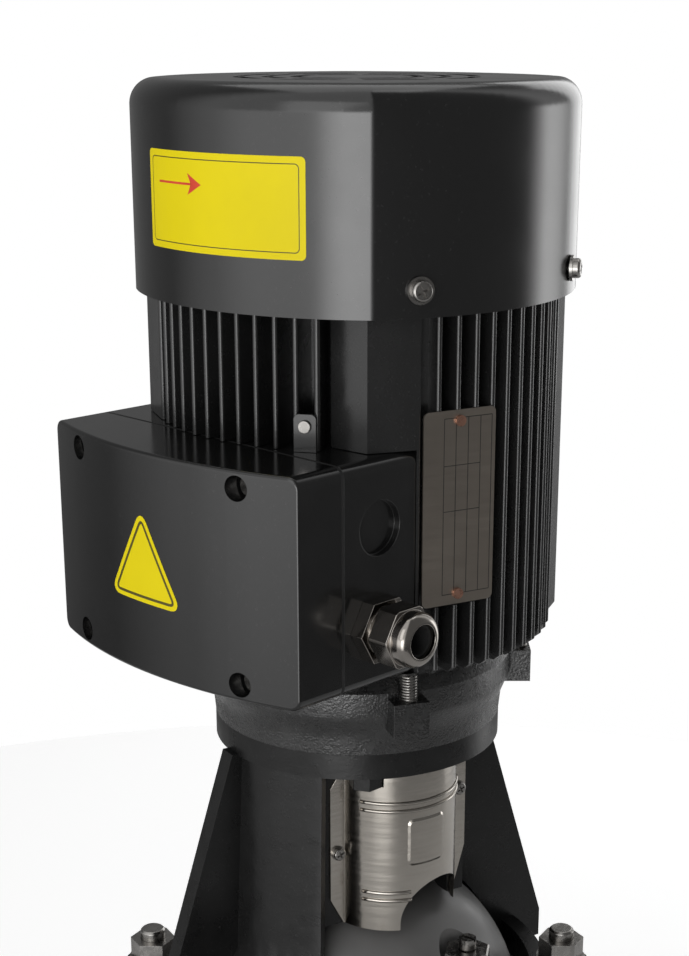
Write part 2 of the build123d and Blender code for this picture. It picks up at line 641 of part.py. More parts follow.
def upper_end_shield():
    seat = z_upper_bearing
    shell = turned([
        (housing_bore_r - 5, z_housing_top - 6), (housing_bore_r - free, z_housing_top - 6),
        (housing_bore_r - free, z_housing_top), (fin_tip_r - 6, z_housing_top),
        (fin_tip_r - 6, z_housing_top + 8), (bearing_outer_r + 9, z_housing_top + 16),
        (bearing_seat_r + 4, z_housing_top + 16), (bearing_seat_r + 4, seat + bearing_width),
        (bearing_outer_r, seat + bearing_width), (bearing_outer_r, seat - 1),
        (bearing_outer_r + 6, seat - 1), (bearing_outer_r + 9, z_housing_top + 3),
        (housing_bore_r - 5, z_housing_top + 3),
    ])
    for turn in cover_screw_turns:
        place = cover_screw_place(turn)
        shell += place * Pos(-2.5, 0, -3.2) * Box(14, 12, 8, align=(
            Align.MAX, Align.CENTER, Align.MIN)) & disc(200, z_housing_top, z_cover_top)
        shell -= place * Rot(0, 90, 0) * Cylinder(2.5 + thread_gap, 30)
    for turn in lug_turns:
        shell -= around(turn, tie_circle_r, z_housing_top - 8) * Cylinder(
            tie_r + thread_gap, 30, align=on_base)
        shell -= around(turn, tie_circle_r, z_housing_top + tie_seat) * Cylinder(
            6.4, 30, align=on_base)
    return shell


def tie_bolts():
    low, high = z_motor + 16, z_housing_top + tie_seat
    bolts = []
    for turn in lug_turns:
        rod = Cylinder(tie_r, high - low, align=on_base)
        head = Pos(0, 0, high - low) * hexagon(10, 4)
        bolts.append(around(turn, tie_circle_r, low) * (rod + head))
    return solids_of(bolts)


# ---- fan cover and fan -------------------------------------------------------
def cover_outline(inset=0.0):
    """Rounded square of four shallow arcs that meet in soft corners at the diagonals."""
    corner, side = cover_corner_r - inset, cover_side_r - inset
    arcs = []
    for turn in quarters(45 + cover_crease_turn):
        a, m, b = radians(turn), radians(turn + 45), radians(turn + 90)
        arcs.append(ThreePointArc((corner * cos(a), corner * sin(a)), (side * cos(m), side * sin(m)),
                                  (corner * cos(b), corner * sin(b))))
    return make_face(Wire(arcs))


def cover_shell(inset=0.0, edge_r=cover_edge_r):
    body = extrude(cover_outline(inset), cover_height - inset)
    body = fillet(body.edges().filter_by(Axis.Z), cover_crease_fillet)
    return fillet(body.edges().group_by(Axis.Z)[-1], edge_r)


def fan_cover():
    shell = cover_shell() - cover_shell(cover_sheet, cover_edge_r - cover_sheet)
    for ring_r in (26, 38, 50):
        for n in range(8):
            slot = SlotArc(CenterArc((0, 0), ring_r, 45 * n + 5, 30), 5)
            shell -= Pos(0, 0, cover_height - 6) * extrude(slot, 8)
    shell = Pos(0, 0, z_cover) * shell
    for turn in cover_screw_turns:
        shell -= cover_screw_place(turn) * Rot(0, 90, 0) * Cylinder(2.5 + thread_gap, 16)
    return shell


def cover_screw_place(turn):
    """Place on the cover's outside, local +X along the sheet's own normal."""
    chord = cover_corner_r / sqrt(2)
    rise = cover_side_r - chord
    arc_r = (chord * chord + rise * rise) / (2 * rise)
    centre = cover_side_r - arc_r
    off = radians((turn - cover_crease_turn + 45) % 90 - 45)
    reach = centre * cos(off) + sqrt(arc_r ** 2 - (centre * sin(off)) ** 2)
    lean = degrees(atan2(reach * sin(off), reach * cos(off) - centre)) - degrees(off)
    return around(turn, reach, z_cover + cover_screw_height) * Rot(0, 0, lean)


def fan_cover_screws():
    screws = []
    for turn in cover_screw_turns:
        place = cover_screw_place(turn) * Pos(running, 0, 0) * Rot(0, 90, 0)
        washer = Cylinder(5.5, 1.2, align=on_base)
        head = Pos(0, 0, 1.2) * Cylinder(4.2, 3.2, align=on_base)
        shank = Pos(0, 0, -12) * Cylinder(2.5, 13, align=on_base)
        screws.append(place * (washer + head + shank))
    return solids_of(screws)


def cooling_fan():
    low = z_housing_top + 22
    back = tube(fan_r - 10, bearing_seat_r - 1.5, low, low + 2)
    hub = tube(fan_hub_r, bearing_seat_r - 1.5, low, low + fan_height - 6)
    fan = back + hub
    for n in range(fan_blades):
        blade = Pos((fan_r + fan_hub_r) / 2 - 1, 0, low) * Box(
            fan_r - fan_hub_r + 2, 2.2, fan_height, align=on_base)
        fan += around(360 / fan_blades * n) * blade
    return fan


def fan_clip():
    high = z_housing_top + 22 + fan_height - 6
    return tube(bearing_seat_r + 2.5, bearing_seat_r - 1.5, high, high + 1.2)


# ---- stator and rotor --------------------------------------------------------
def stator_core():
    stack = Pos(0, 0, z_stack) * extrude(Circle(housing_bore_r - thread_gap) - Circle(
        rotor_r + air_gap), stack_length)
    return stack


def stator_windings():
    inner, outer = rotor_r + 4, housing_bore_r - 6
    low = tube(outer, inner, z_stack - winding_height, z_stack - thread_gap)
    high = tube(outer, inner, z_stack + stack_length + thread_gap,
                z_stack + stack_length + winding_height)
    low = fillet(low.edges().group_by(Axis.Z)[0], 6)
    high = fillet(high.edges().group_by(Axis.Z)[-1], 6)
    return solids_of([low, high])


def rotor_core():
    return tube(rotor_r, shaft_body_r, z_stack, z_stack + stack_length)


def motor_shaft():
    fan_seat_r = bearing_seat_r - 1.5
    return turned([
        (0, z_shaft_low), (motor_shaft_r - 1, z_shaft_low), (motor_shaft_r, z_shaft_low + 1),
        (motor_shaft_r, z_lower_bearing - 2), (bearing_seat_r, z_lower_bearing - 2),
        (bearing_seat_r, z_lower_bearing + bearing_width + 1),
        (shaft_body_r, z_lower_bearing + bearing_width + 1), (shaft_body_r, z_upper_bearing - 1),
        (bearing_seat_r, z_upper_bearing - 1), (bearing_seat_r, z_housing_top + 21),
        (fan_seat_r, z_housing_top + 21), (fan_seat_r, z_housing_top + 24 + fan_height),
        (0, z_housing_top + 24 + fan_height),
    ])


def race(low, inner_r, outer_r):
    ring = tube(outer_r, inner_r, low, low + bearing_width)
    groove = revolve(Plane.XZ * Pos(ball_circle_r, low + bearing_width / 2) * Circle(
        ball_r + free), Axis.Z)
    return ring - groove


def outer_race(low):
    return race(low, ball_circle_r + 2.2, bearing_outer_r - thread_gap)


def inner_race(low):
    return race(low, bearing_seat_r + 0.02, ball_circle_r - 2.2)


def ball_set(low):
    """Balls held by a flat cage ring."""
    middle = low + bearing_width / 2
    cage = tube(ball_circle_r + 1.2, ball_circle_r - 1.2, middle - 1.2, middle + 1.2)
    for n in range(ball_count):
        cage += around(360 / ball_count * n, ball_circle_r, middle) * Sphere(ball_r)
    return cage


# ---- terminal box ------------------------------------------------------------
def box_body():
    low, high = z_box, z_box_top
    body = block((-box_seam_x + gasket_thickness, -box_back_x), (-box_half_width, box_half_width),
                 (low, high))
    body = fillet(body.edges().filter_by(Axis.X), lid_corner_r)
    body -= disc(core_r + free, low - 1, high + 1)
    hollow = block((-box_seam_x - 5, -box_back_x - 6), (-box_half_width + box_wall,
                   box_half_width - box_wall), (low + box_wall, high - box_wall))
    hollow -= disc(core_r + 4, low, high)
    body -= hollow
    side = -box_half_width
    body -= Pos(-knockout_x, side - 1, z_box_top - knockout_drop) * Rot(-90, 0, 0) * Cylinder(
        knockout_r, 1 + knockout_depth, align=on_base)
    body -= Pos(-gland_x, side - 1, z_box + gland_lift) * Rot(-90, 0, 0) * Cylinder(
        gland_thread_r + thread_gap, 12, align=on_base)
    for y in (-lid_screw_y, lid_screw_y):
        for z in (z_box + lid_screw_inset, z_box_top - lid_screw_inset):
            post = Pos(-core_r + 2, y, z) * Rot(0, -90, 0) * Cylinder(
                4.2, box_seam_x - core_r - gasket_thickness + 2, align=on_base)
            body += post - disc(core_r + free, low - 1, high + 1)
            body -= Pos(-box_seam_x - 1, y, z) * Rot(0, 90, 0) * Cylinder(
                lid_screw_r + thread_gap, 12, align=on_base)
    return body


def lid_blank(inset=0.0):
    """Cover block whose front is one broad arc, pulled in by an inset on every side."""
    half = box_half_width - inset
    centre = -lid_front_x + lid_bow_r
    blank = block((-lid_front_x, -box_seam_x), (-half, half), (z_box + inset, z_box_top - inset))
    blank &= Pos(centre, 0, z_box) * Cylinder(lid_bow_r - inset, 3 * box_height)
    return blank


def box_cover():
    lid = lid_blank()
    lid = fillet(lid.edges().filter_by(Axis.X), lid_corner_r)
    lid = fillet([e for e in lid.edges() if e.center().X < -box_seam_x - 10], lid_edge_r)
    hollow = lid_blank(lid_wall)
    for y in (-lid_screw_y, lid_screw_y):
        for z in (z_box + lid_screw_inset, z_box_top - lid_screw_inset):
            hollow -= Pos(-box_seam_x + 1, y, z) * Rot(0, -90, 0) * Cylinder(
                lid_counterbore_r + 1.5, 60, align=on_base)
    lid -= hollow
    for y in (-lid_screw_y, lid_screw_y):
        seat = lid_bow_r - lid_front_x - sqrt(lid_bow_r ** 2 - y * y) + lid_counterbore_depth
        for z in (z_box + lid_screw_inset, z_box_top - lid_screw_inset):
            lid -= Pos(-box_seam_x + 1, y, z) * Rot(0, -90, 0) * Cylinder(
                lid_screw_r + 0.3, 60, align=on_base)
            lid -= Pos(seat, y, z) * Rot(0, -90, 0) * Cylinder(
                lid_counterbore_r, 60, align=on_base)
    return lid


def box_gasket():
    half = box_half_width
    gasket = block((-box_seam_x, -box_seam_x + gasket_thickness), (-half, half), (z_box, z_box_top))
    gasket = fillet(gasket.edges().filter_by(Axis.X), lid_corner_r)
    gasket -= block((-box_seam_x - 1, 0), (-half + box_wall, half - box_wall),
                    (z_box + 2 * lid_screw_inset, z_box_top - 2 * lid_screw_inset))
    for y in (-lid_screw_y, lid_screw_y):
        for z in (z_box + lid_screw_inset, z_box_top - lid_screw_inset):
            gasket -= Pos(-box_seam_x - 1, y, z) * Rot(0, 90, 0) * Cylinder(
                lid_screw_r + 0.3, 12, align=on_base)
    return gasket


def box_cover_screws():
    screws = []
    for y in (-lid_screw_y, lid_screw_y):
        front_x = -lid_front_x + lid_bow_r - sqrt(lid_bow_r ** 2 - y * y)
        seat = front_x + lid_counterbore_depth
        for z in (z_box + lid_screw_inset, z_box_top - lid_screw_inset):
            head = Cylinder(lid_counterbore_r - 1, 3, align=on_base)
            shank = Cylinder(lid_screw_r, -seat - box_seam_x + 8,
                             align=(Align.CENTER, Align.CENTER, Align.MAX))
            screws.append(Pos(seat - 0.05, y, z) * Rot(0, -90, 0) * (head + shank))
    return solids_of(screws)


def terminal_block():
    back = -core_r - 4
    middle = (z_box + z_box_top) / 2
    plate = block((back - 8, back - free), (-30, 30), (middle - 18, middle + 18))
    for y in (-20, 0, 20):
        for z in (middle - 9, middle + 9):
            plate -= Pos(back - 9, y, z) * Rot(0, 90, 0) * Cylinder(2 + thread_gap, 7, align=on_base)
    return plate


def terminal_studs():
    back = -core_r - 4
    middle = (z_box + z_box_top) / 2
    studs = []
    for y in (-20, 0, 20):
        for z in (middle - 9, middle + 9):
            stud = Pos(back - 3, y, z) * Rot(0, -90, 0) * Cylinder(2, 17, align=on_base)
            nut = Pos(back - 8.2, y, z) * Rot(0, -90, 0) * hexagon(7, 3.2)
            studs.append(stud + nut)
    return solids_of(studs)


def gland_axis(reach=0.0):
    """Place on the gland's axis, +Z leaving the box's side wall."""
    return Pos(-gland_x, -box_half_width - reach, z_box + gland_lift) * Rot(90, 0, 0)


def cable_gland_body():
    body = gland_axis(-8) * Cylinder(gland_thread_r, 8, align=on_base)
    body += gland_axis(0) * hexagon(gland_across_flats, gland_flange)
    body += gland_axis(gland_flange) * Cylinder(gland_thread_r + 0.5, gland_neck, align=on_base)
    return body - gland_axis(-20) * Cylinder(gland_bore_r + 2.5, 60, align=on_base)


def cable_gland_nut():
    """Domed nut: a chamfered hexagon that runs into a rounded nose."""
    start = gland_flange + 2.5
    front = start + gland_nut_length
    nose_r = gland_nut_across_flats / 2
    nut = gland_axis(start) * hexagon(gland_nut_across_flats, gland_nut_length)
    nut &= gland_axis(start) * Cylinder(nose_r + 1.3, gland_nut_length, align=on_base)
    nose = Cylinder(nose_r - 0.6, gland_dome, align=on_base)
    nose = fillet(nose.edges().group_by(Axis.Z)[-1], 4)
    nut += gland_axis(front) * nose
    nut -= gland_axis(start - 1) * Cylinder(gland_thread_r + 0.5 + thread_gap,
                                            gland_neck - 1, align=on_base)
    return nut - gland_axis(start - 1) * Cylinder(gland_bore_r + 1, 40, align=on_base)


def cable_gland_seal():
    start = gland_flange + gland_neck + 0.5
    seal = gland_axis(start) * Cylinder(gland_bore_r + 0.9, 9, align=on_base)
    return seal - gland_axis(-8) * Cylinder(gland_bore_r, 50, align=on_base)


# ---- plates ------------------------------------------------------------------
def nameplate():
    plate = plate_place(0, plate_height / 2) * Rot(0, 90, 0) * extrude(
        RectangleRounded(plate_height, plate_width, 2.5), 0.8)
    for height in rivet_heights:
        plate -= plate_place(-1, height) * Rot(0, 90, 0) * Cylinder(
            rivet_r + running, 4, align=on_base)
    return plate


def nameplate_rivets():
    rivet = Pos(0, 0, -5) * Cylinder(rivet_r, 6, align=on_base) + Pos(0, 0, 0.8) * Cylinder(
        2.3, 1.1, align=on_base)
    return solids_of([plate_place(0, height) * Rot(0, 90, 0) * rivet for height in rivet_heights])


def earth_place(out=0.0, height=0.0):
    """Place above the box's rear corner, local +X facing away from the shaft."""
    return around(earth_turn, earth_r + out, z_box_top + height)


def earth_tab():
    """Upright tab on the box's top, with one rounded corner at each side."""
    tab = Pos(0, 0, 7.75) * Rot(0, 90, 0) * extrude(RectangleRounded(15.5, 9.5, 2.4), 1.5)
    tab += Pos(0, 0, 0) * Box(1.5, 9.5, 5, align=(Align.MIN, Align.CENTER, Align.MIN))
    return earth_place() * tab - earth_place(0, 10.5) * Rot(0, 90, 0) * Cylinder(2.1, 10)


def earth_screw():
    screw = Pos(0, 0, -5) * Cylinder(2, 7, align=on_base)
    screw += Pos(0, 0, 1.5) * Cylinder(2.6, 1.4, align=on_base)
    return earth_place(0, 10.5) * Rot(0, 90, 0) * screw


# ---- write every piece -------------------------------------------------------
os.makedirs("parts", exist_ok=True)

pieces = {
    "pump_base": pump_base, "drain_plug": drain_plug, "outer_sleeve": outer_sleeve,
    "sleeve_seals": sleeve_seals, "stay_bolts": stay_bolts, "stay_bolt_nuts": stay_bolt_nuts,
    "suction_bell": suction_bell, "chambers": chambers, "stack_spacer": stack_spacer,
    "pump_shaft": pump_shaft,
    "pump_head": pump_head, "seal_stationary_ring": seal_stationary_ring,
    "seal_rotating_ring": seal_rotating_ring, "priming_plug": priming_plug,
    "vent_screw": vent_screw, "motor_stool": motor_stool, "guard_screws": guard_screws,
    "flange_bolts": flange_bolts, "coupling_screws": coupling_screws,
    "coupling_pin": coupling_pin, "stator_housing": stator_housing,
    "lower_end_shield": lower_end_shield, "upper_end_shield": upper_end_shield,
    "tie_bolts": tie_bolts, "fan_cover": fan_cover, "fan_cover_screws": fan_cover_screws,
    "cooling_fan": cooling_fan, "fan_clip": fan_clip, "stator_core": stator_core,
    "stator_windings": stator_windings, "rotor_core": rotor_core, "motor_shaft": motor_shaft,
    "terminal_box_body": box_body, "terminal_box_cover": box_cover,
    "terminal_box_gasket": box_gasket, "box_cover_screws": box_cover_screws,
    "terminal_block": terminal_block, "terminal_studs": terminal_studs,
    "cable_gland_body": cable_gland_body, "cable_gland_nut": cable_gland_nut,
    "cable_gland_seal": cable_gland_seal, "nameplate": nameplate,
    "nameplate_rivets": nameplate_rivets, "earth_tab": earth_tab, "earth_screw": earth_screw,
}
for name, make in pieces.items():
    save(name, make())

for level in range(stage_count):
    save(f"impeller_{level + 1}", impeller(level))
save("coupling_front_half", coupling_half(-1))
save("coupling_back_half", coupling_half(1))
save("coupling_guard_front", coupling_guard(window_turns()[0]))
save("coupling_guard_back", coupling_guard(window_turns()[1]))
for side, low in (("lower", z_lower_bearing), ("upper", z_upper_bearing)):
    save(f"{side}_bearing_outer_ring", outer_race(low))
    save(f"{side}_bearing_inner_ring", inner_race(low))
    save(f"{side}_bearing_balls", ball_set(low))
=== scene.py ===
import json
from math import cos, pi, radians, sin

import bmesh
import bpy
from mathutils import Matrix, Vector
from mathutils.bvhtree import BVHTree


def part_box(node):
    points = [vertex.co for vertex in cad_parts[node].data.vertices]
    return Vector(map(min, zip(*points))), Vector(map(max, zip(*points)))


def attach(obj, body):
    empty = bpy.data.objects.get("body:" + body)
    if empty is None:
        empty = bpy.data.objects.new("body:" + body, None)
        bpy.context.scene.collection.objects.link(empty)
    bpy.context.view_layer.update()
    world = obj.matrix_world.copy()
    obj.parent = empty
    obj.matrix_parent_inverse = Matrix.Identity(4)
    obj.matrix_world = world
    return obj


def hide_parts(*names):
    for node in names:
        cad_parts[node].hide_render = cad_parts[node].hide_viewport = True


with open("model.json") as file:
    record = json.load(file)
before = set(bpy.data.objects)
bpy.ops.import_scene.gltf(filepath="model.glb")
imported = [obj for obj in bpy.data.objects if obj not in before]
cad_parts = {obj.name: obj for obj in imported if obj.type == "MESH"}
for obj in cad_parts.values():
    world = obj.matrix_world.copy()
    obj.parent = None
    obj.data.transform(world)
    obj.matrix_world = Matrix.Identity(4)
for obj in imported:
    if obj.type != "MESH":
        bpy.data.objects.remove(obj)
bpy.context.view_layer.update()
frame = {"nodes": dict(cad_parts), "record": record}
print("stage: frame loaded with", len(frame["nodes"]), "nodes")

mm = 0.001
mergeDistance = 0.002 * mm
nodeSlot = {part["node"]: part["material_slot"] for part in frame["record"]["subparts"]}
bodies = frame["record"]["behaviour"]["bodies"]
nodeBody = {node: body for body, nodes in bodies.items() for node in nodes}


def lowest(node):
    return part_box(node)[0]


def highest(node):
    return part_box(node)[1]


# small node-tree tools

def startFinish(name):
    material = bpy.data.materials.new(name)
    material.use_nodes = True
    tree = material.node_tree
    tree.nodes.clear()
    shader = tree.nodes.new("ShaderNodeBsdfPrincipled")
    output = tree.nodes.new("ShaderNodeOutputMaterial")
    tree.links.new(shader.outputs["BSDF"], output.inputs["Surface"])
    return material, tree, shader


def feed(tree, socket, value):
    if isinstance(value, bpy.types.NodeSocket):
        tree.links.new(value, socket)
    else:
        socket.default_value = value


def point(tree, stretch=(1, 1, 1)):
    coordinates = tree.nodes.new("ShaderNodeTexCoord")
    mapping = tree.nodes.new("ShaderNodeMapping")
    mapping.inputs["Scale"].default_value = stretch
    tree.links.new(coordinates.outputs["Object"], mapping.inputs["Vector"])
    return mapping.outputs["Vector"]


def noise(tree, scale, detail=3.0, stretch=(1, 1, 1)):
    texture = tree.nodes.new("ShaderNodeTexNoise")
    texture.inputs["Scale"].default_value = scale
    texture.inputs["Detail"].default_value = detail
    tree.links.new(point(tree, stretch), texture.inputs["Vector"])
    return texture.outputs["Fac"]


def spread(tree, source, low, high, start=0.3, end=0.7):
    ranger = tree.nodes.new("ShaderNodeMapRange")
    for name, value in (("From Min", start), ("From Max", end), ("To Min", low), ("To Max", high)):
        ranger.inputs[name].default_value = value
    tree.links.new(source, ranger.inputs["Value"])
    return ranger.outputs["Result"]


def blendColors(tree, amount, first, second):
    mixer = tree.nodes.new("ShaderNodeMix")
    mixer.data_type = "RGBA"
    feed(tree, mixer.inputs[0], amount)
    feed(tree, mixer.inputs[6], first)
    feed(tree, mixer.inputs[7], second)
    return mixer.outputs[2]


def calculate(tree, operation, first, second=0.0):
    node = tree.nodes.new("ShaderNodeMath")
    node.operation = operation
    feed(tree, node.inputs[0], first)
    feed(tree, node.inputs[1], second)
    return node.outputs[0]


def bump(tree, height, strength, distance, under=None):
    node = tree.nodes.new("ShaderNodeBump")
    node.inputs["Strength"].default_value = strength
    node.inputs["Distance"].default_value = distance
    tree.links.new(height, node.inputs["Height"])
    if under is not None:
        tree.links.new(under, node.inputs["Normal"])
    return node.outputs["Normal"]


def grey(value, warmth=0.0):
    return (value * (1 + warmth), value, value * (1 - warmth), 1.0)


# finishes: one dictionary each

paints = {
    "cover_black": dict(dark=grey(0.006), light=grey(0.010), mottle=9, rough=(0.17, 0.22), fine=2600,
                        fineBump=0.02, lump=70, lumpBump=0.015, specular=0.62, dust=0.03),
    "box_black": dict(dark=grey(0.006), light=grey(0.010), mottle=12, rough=(0.13, 0.19), fine=2200,
                      fineBump=0.02, lump=90, lumpBump=0.015, specular=0.62, dust=0.036),
    "motor_black": dict(dark=grey(0.011), light=grey(0.020), mottle=20, rough=(0.20, 0.30), fine=1500,
                        fineBump=0.06, lump=160, lumpBump=0.03, specular=0.6, dust=0.03),
    "shield_cast": dict(dark=grey(0.006), light=grey(0.022), mottle=60, rough=(0.20, 0.34), fine=1100,
                        fineBump=1.0, lump=260, lumpBump=0.2, specular=0.75, dust=0.105),
    "stool_black": dict(dark=grey(0.006), light=grey(0.011), mottle=25, rough=(0.24, 0.36),
                        fine=900, fineBump=0.16, lump=160, lumpBump=0.10, specular=0.34, dust=0.036),
    "cast_grey": dict(dark=grey(0.13, 0.01), light=grey(0.17, 0.02), mottle=30, rough=(0.32, 0.44), fine=800,
                      fineBump=0.10, lump=150, lumpBump=0.06, specular=0.5, dust=0.015),
    "rubber": dict(dark=grey(0.010), light=grey(0.020), mottle=40, rough=(0.6, 0.8), fine=1500,
                   fineBump=0.15, lump=200, lumpBump=0.05, specular=0.3, dust=0.03),
    "seal_carbon": dict(dark=grey(0.012), light=grey(0.03), mottle=50, rough=(0.3, 0.45), fine=1500,
                        fineBump=0.05, lump=200, lumpBump=0.03, specular=0.5, dust=0.015),
    "fan_plastic": dict(dark=grey(0.010), light=grey(0.018), mottle=15, rough=(0.4, 0.55), fine=1800,
                        fineBump=0.08, lump=100, lumpBump=0.03, specular=0.4, dust=0.06),
    "terminal_plastic": dict(dark=(0.16, 0.05, 0.02, 1), light=(0.22, 0.08, 0.03, 1), mottle=20,
                             rough=(0.35, 0.5), fine=1500, fineBump=0.06, lump=100, lumpBump=0.03,
                             specular=0.5, dust=0.015),
    "lamination": dict(dark=grey(0.10), light=grey(0.22), mottle=30, rough=(0.4, 0.6), fine=1200,
                       fineBump=0.1, lump=200, lumpBump=0.05, specular=0.5, dust=0.015),
    "coupling_iron": dict(dark=grey(0.10), light=grey(0.16), mottle=30, rough=(0.35, 0.5), fine=1000,
                          fineBump=0.12, lump=150, lumpBump=0.06, specular=0.5, dust=0.015),
    "winding": dict(dark=(0.20, 0.06, 0.02, 1), light=(0.42, 0.16, 0.06, 1), mottle=150, rough=(0.3, 0.5),
                    fine=900, fineBump=0.5, lump=300, lumpBump=0.3, specular=0.6, dust=0),
    "stickerYellow": dict(dark=(0.80, 0.655, 0.002, 1), light=(0.84, 0.69, 0.003, 1), mottle=30,
                          rough=(0.34, 0.42), fine=1500, fineBump=0.02, lump=60, lumpBump=0.01,
                          specular=0.2, dust=0),
    "stickerInk": dict(dark=(0.060, 0.050, 0.004, 1), light=(0.10, 0.080, 0.006, 1), mottle=80,
                       rough=(0.35, 0.45), fine=1500, fineBump=0.02, lump=60, lumpBump=0.01,
                       specular=0.4, dust=0),
    "stickerRed": dict(dark=(0.62, 0.045, 0.02, 1), light=(0.74, 0.07, 0.03, 1), mottle=80,
                       rough=(0.35, 0.45), fine=1500, fineBump=0.02, lump=60, lumpBump=0.01,
                       specular=0.4, dust=0),
    "plateInk": dict(dark=grey(0.020, 0.1), light=grey(0.040, 0.1), mottle=200, rough=(0.4, 0.5),
                     fine=1500, fineBump=0.05, lump=100, lumpBump=0.02, specular=0.4, dust=0),
}

metals = {
    "stainless": dict(tint=(0.47, 0.44, 0.40, 1), shade=(0.38, 0.355, 0.32, 1), rough=(0.16, 0.26),
                      grain=(30, 30, 700), fineBump=0.02),
    "steel": dict(tint=(0.34, 0.33, 0.315, 1), shade=(0.20, 0.19, 0.18, 1), rough=(0.18, 0.34),
                  grain=(300, 300, 300), fineBump=0.06),
    "gland_metal": dict(tint=(0.36, 0.335, 0.31, 1), shade=(0.25, 0.235, 0.215, 1), rough=(0.12, 0.20),
                        grain=(200, 200, 200), fineBump=0.03),
    "plate": dict(tint=(0.34, 0.302, 0.262, 1), shade=(0.29, 0.258, 0.224, 1), rough=(0.36, 0.46),
                  grain=(60, 60, 900), fineBump=0.03),
    "rivet": dict(tint=(0.72, 0.40, 0.30, 1), shade=(0.45, 0.24, 0.17, 1), rough=(0.22, 0.38),
                  grain=(400, 400, 400), fineBump=0.08),
    "brass": dict(tint=(0.72, 0.50, 0.22, 1), shade=(0.52, 0.34, 0.12, 1), rough=(0.20, 0.35),
                  grain=(300, 300, 300), fineBump=0.06),
}


dust = dict(scale=900, start=0.66, end=0.74, color=grey(0.35))
relief = dict(lump=1 * mm, fine=0.3 * mm, streak=0.1 * mm)
cloudScale = 25


def paintFinish(name, s):
    material, tree, shader = startFinish(name)
    blotches = spread(tree, noise(tree, s["mottle"]), 0, 1)
    color = blendColors(tree, blotches, s["dark"], s["light"])
    specks = spread(tree, noise(tree, dust["scale"], 1), 0, s["dust"], dust["start"], dust["end"])
    feed(tree, shader.inputs["Base Color"], blendColors(tree, specks, color, dust["color"]))
    feed(tree, shader.inputs["Roughness"], spread(tree, noise(tree, s["mottle"] * 4), *s["rough"]))
    shader.inputs["Specular IOR Level"].default_value = s["specular"]
    lumps = bump(tree, noise(tree, s["lump"]), s["lumpBump"], relief["lump"])
    grains = bump(tree, noise(tree, s["fine"], 2), s["fineBump"], relief["fine"], lumps)
    feed(tree, shader.inputs["Normal"], grains)
    return material


def metalFinish(name, s):
    material, tree, shader = startFinish(name)
    shader.inputs["Metallic"].default_value = 1.0
    streaks = spread(tree, noise(tree, 1.0, 4, s["grain"]), 0, 1)
    clouds = spread(tree, noise(tree, cloudScale), 0, 1)
    feed(tree, shader.inputs["Base Color"], blendColors(tree, clouds, s["tint"], s["shade"]))
    feed(tree, shader.inputs["Roughness"], spread(tree, streaks, *s["rough"], 0, 1))
    feed(tree, shader.inputs["Normal"], bump(tree, streaks, s["fineBump"], relief["streak"]))
    return material


palette = {name: paintFinish(name, s) for name, s in paints.items()}
palette.update({name: metalFinish(name, s) for name, s in metals.items()})
print("stage: finishes made", len(palette))

for node, cadObject in frame["nodes"].items():
    cadObject.data.materials.clear()
    cadObject.data.materials.append(palette.get(nodeSlot[node], palette["steel"]))


# smooth copies of the CAD pieces with broken edges

sharpAngle = radians(32)
flatAngle = radians(0.2)


def keepPiece(bm, name, material, body):
    mesh = bpy.data.meshes.new(name)
    bm.to_mesh(mesh)
    bm.free()
    piece = bpy.data.objects.new(name, mesh)
    bpy.context.scene.collection.objects.link(piece)
    mesh.materials.append(material)
    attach(piece, body)
    return piece


def shadeByAngle(bm, limit=sharpAngle):
    for face in bm.faces:
        face.smooth = True
    for edge in bm.edges:
        edge.smooth = len(edge.link_faces) == 2 and edge.calc_face_angle(0) < limit


def weightNormals(piece):
    piece.modifiers.new("evenNormals", "WEIGHTED_NORMAL").keep_sharp = True


def breakEdges(piece, width):
    bevel = piece.modifiers.new("brokenEdges", "BEVEL")
    bevel.width = width
    bevel.segments = 2
    bevel.limit_method = "ANGLE"
    bevel.angle_limit = sharpAngle
    bevel.harden_normals = True
    weightNormals(piece)


repaints = {"earth_tab": "box_black", "flange_bolts": "stool_black"}


def dressNode(node, edgeWidth):
    bm = bmesh.new()
    bm.from_mesh(frame["nodes"][node].data)
    bmesh.ops.remove_doubles(bm, verts=bm.verts, dist=mergeDistance)
    bmesh.ops.dissolve_limit(bm, angle_limit=flatAngle, verts=bm.verts, edges=bm.edges)
    shadeByAngle(bm)
    slotName = repaints.get(node, nodeSlot[node])
    piece = keepPiece(bm, node + "Dressed", palette.get(slotName, palette["steel"]), nodeBody[node])
    breakEdges(piece, edgeWidth)
    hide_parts(node)


edgeWidths = {  # in millimetres
    "fan_cover": 0.25, "stator_housing": 0.35, "terminal_box_body": 0.5, "terminal_box_cover": 0.4,
    "lower_end_shield": 0.6, "motor_stool": 0.8, "pump_head": 0.6, "pump_base": 1.2,
    "coupling_guard_front": 0.15, "coupling_guard_back": 0.15, "cable_gland_body": 0.3,
    "cable_gland_nut": 0.35, "stay_bolts": 0.3, "stay_bolt_nuts": 0.4, "flange_bolts": 0.3,
    "priming_plug": 0.3, "vent_screw": 0.2, "outer_sleeve": 0.2, "drain_plug": 0.4,
    "box_cover_screws": 0.2,
    "earth_tab": 0.2, "earth_screw": 0.3, "coupling_front_half": 0.3, "coupling_back_half": 0.3,
    "upper_end_shield": 0.3,
}
for node, width in edgeWidths.items():
    dressNode(node, width * mm)
print("stage: CAD pieces dressed", len(edgeWidths))


# thin sheets wrapped round the surface that carries them

flatness = 0.001 * mm
startAway = 30 * mm  # where the rays towards the surface start


def surfaceOf(node):
    bm = bmesh.new()
    bm.from_mesh(frame["nodes"][node].data)
    tree = BVHTree.FromBMesh(bm)
    bm.free()
    return tree


